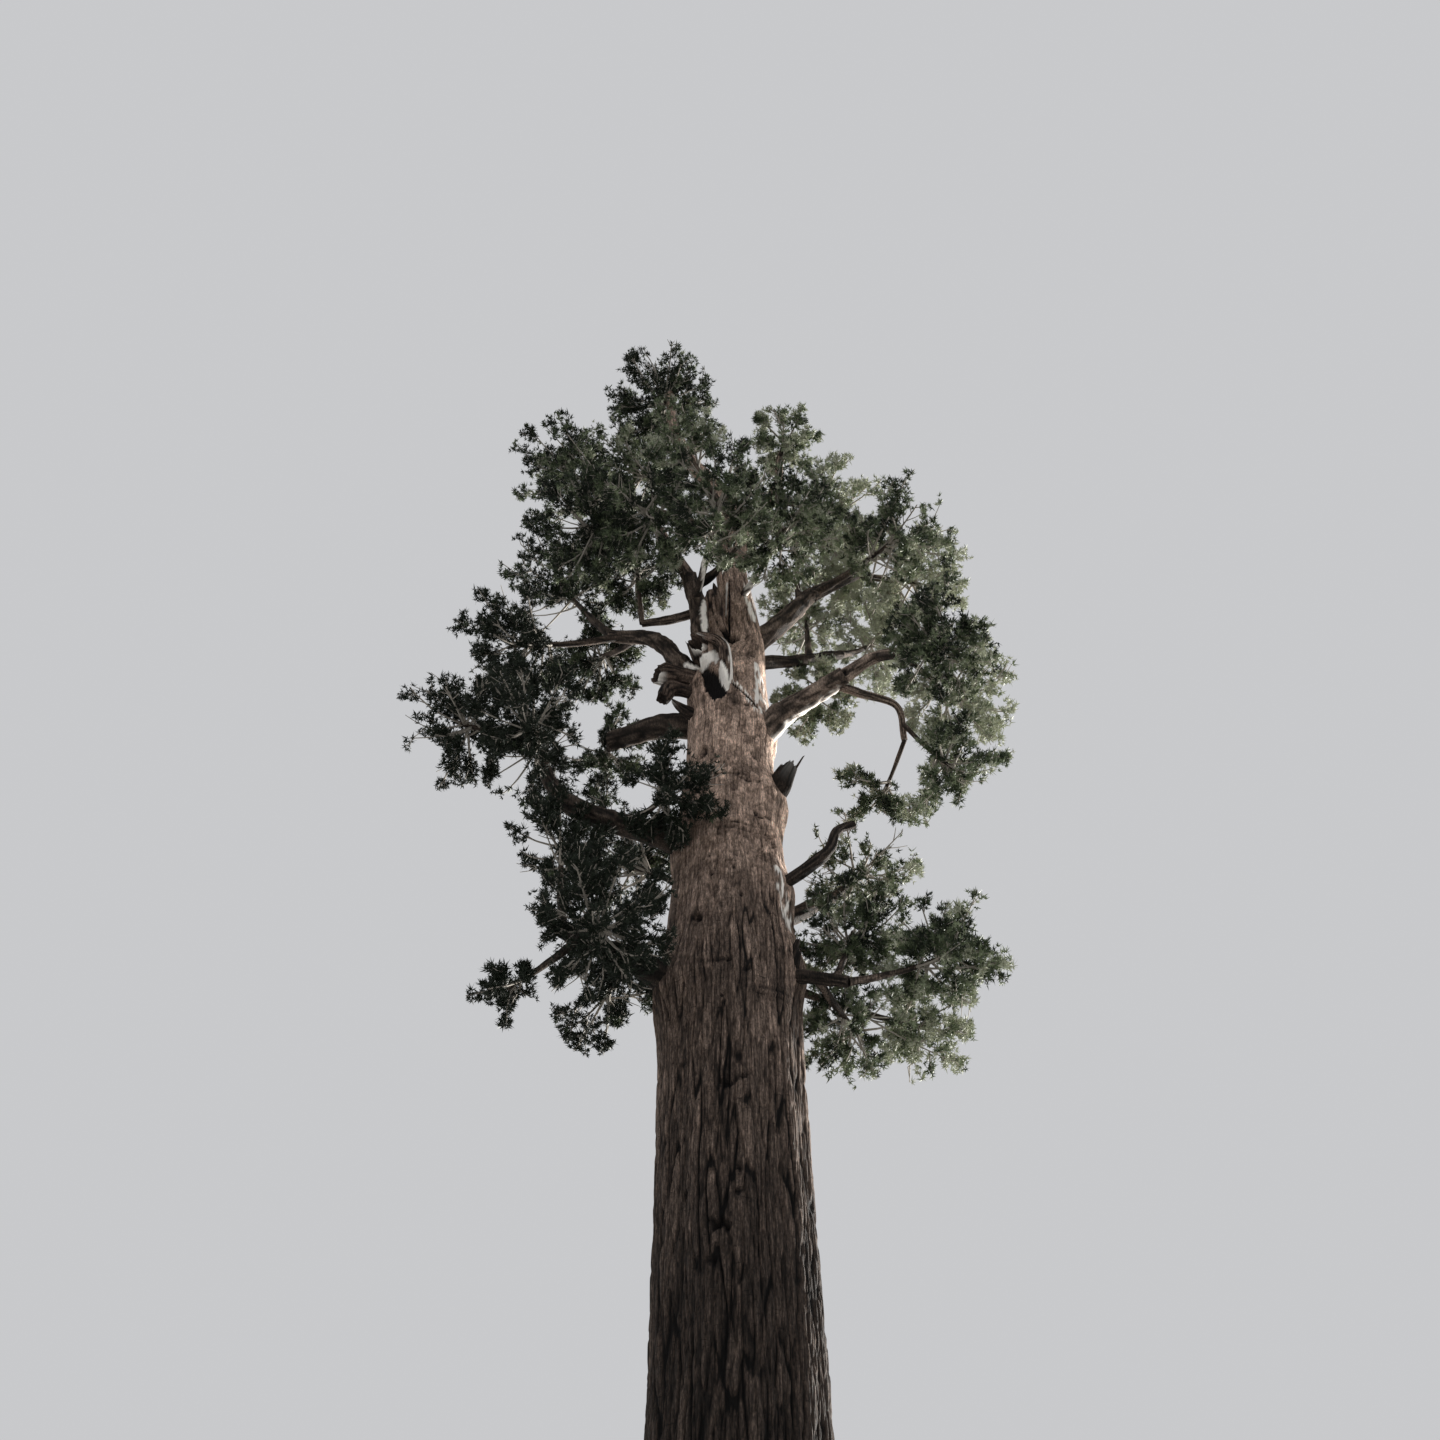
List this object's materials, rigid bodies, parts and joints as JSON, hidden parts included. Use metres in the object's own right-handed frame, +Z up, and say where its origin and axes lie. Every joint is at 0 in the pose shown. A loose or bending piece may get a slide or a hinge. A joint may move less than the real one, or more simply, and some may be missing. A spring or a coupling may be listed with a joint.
{
  "type": "giant sequoia tree",
  "caption": "Old conifer with a massive fluted trunk, flared foot, broken stubs and snags, crooked limbs and an open irregular crown of foliage masses.",
  "frame": {"origin": "centre of the flat cut at ground level under the trunk", "axes": "+Z up the trunk, +X to the right and +Y away from the viewer in the front view"},
  "size_m": [11.9034, 9.072, 39.9325],
  "materials": {
    "bark": "rough fibrous furrowed bark",
    "limb_bark": "rough flaking bark",
    "foliage": "matt evergreen sprays"
  },
  "bodies": {
    "root": {"trunk": "bark", "left_spar": "limb_bark", "spar_fork": "limb_bark", "top_right_limb": "limb_bark", "upper_left_bough": "limb_bark", "short_left_limb": "limb_bark", "middle_left_bough": "limb_bark", "lower_left_bough": "limb_bark", "lower_left_column": "limb_bark", "low_left_bough": "limb_bark", "upper_right_bough": "limb_bark", "cross_right_bough": "limb_bark", "great_right_bough": "limb_bark", "great_right_arm": "limb_bark", "drooping_right_arm": "limb_bark", "elbow_right_limb": "limb_bark", "shadow_right_bough": "limb_bark", "low_right_bough": "limb_bark", "foliage_top_peak": "foliage", "foliage_top_front": "foliage", "foliage_top_back": "foliage", "foliage_top_right_tuft": "foliage", "foliage_top_left": "foliage", "foliage_top_left_inner": "foliage", "foliage_top_left_front": "foliage", "foliage_top_middle_front": "foliage", "foliage_front_centre": "foliage", "foliage_spar_left": "foliage", "foliage_right_top": "foliage", "foliage_right_top_front": "foliage", "foliage_right_shoulder": "foliage", "foliage_right_shoulder_back": "foliage", "foliage_right_outer_high": "foliage", "foliage_right_outer_front": "foliage", "foliage_right_outer": "foliage", "foliage_right_outer_low": "foliage", "foliage_right_middle_back": "foliage", "foliage_right_inner_back": "foliage", "foliage_right_drape": "foliage", "foliage_right_low_fringe": "foliage", "foliage_left_high": "foliage", "foliage_left_shoulder": "foliage", "foliage_left_inner": "foliage", "foliage_left_far": "foliage", "foliage_left_middle": "foliage", "foliage_left_column": "foliage", "foliage_left_inner_low": "foliage", "foliage_left_front_low": "foliage", "foliage_left_low_back": "foliage", "foliage_left_tuft": "foliage", "foliage_left_low_front": "foliage", "foliage_left_drape": "foliage", "foliage_left_low_far": "foliage", "foliage_right_low_inner": "foliage", "foliage_right_low": "foliage", "foliage_right_low_far": "foliage", "foliage_right_low_drape": "foliage", "foliage_right_low_back": "foliage", "foliage_back_low": "foliage", "foliage_back_middle": "foliage"}
  },
  "joints": []
}
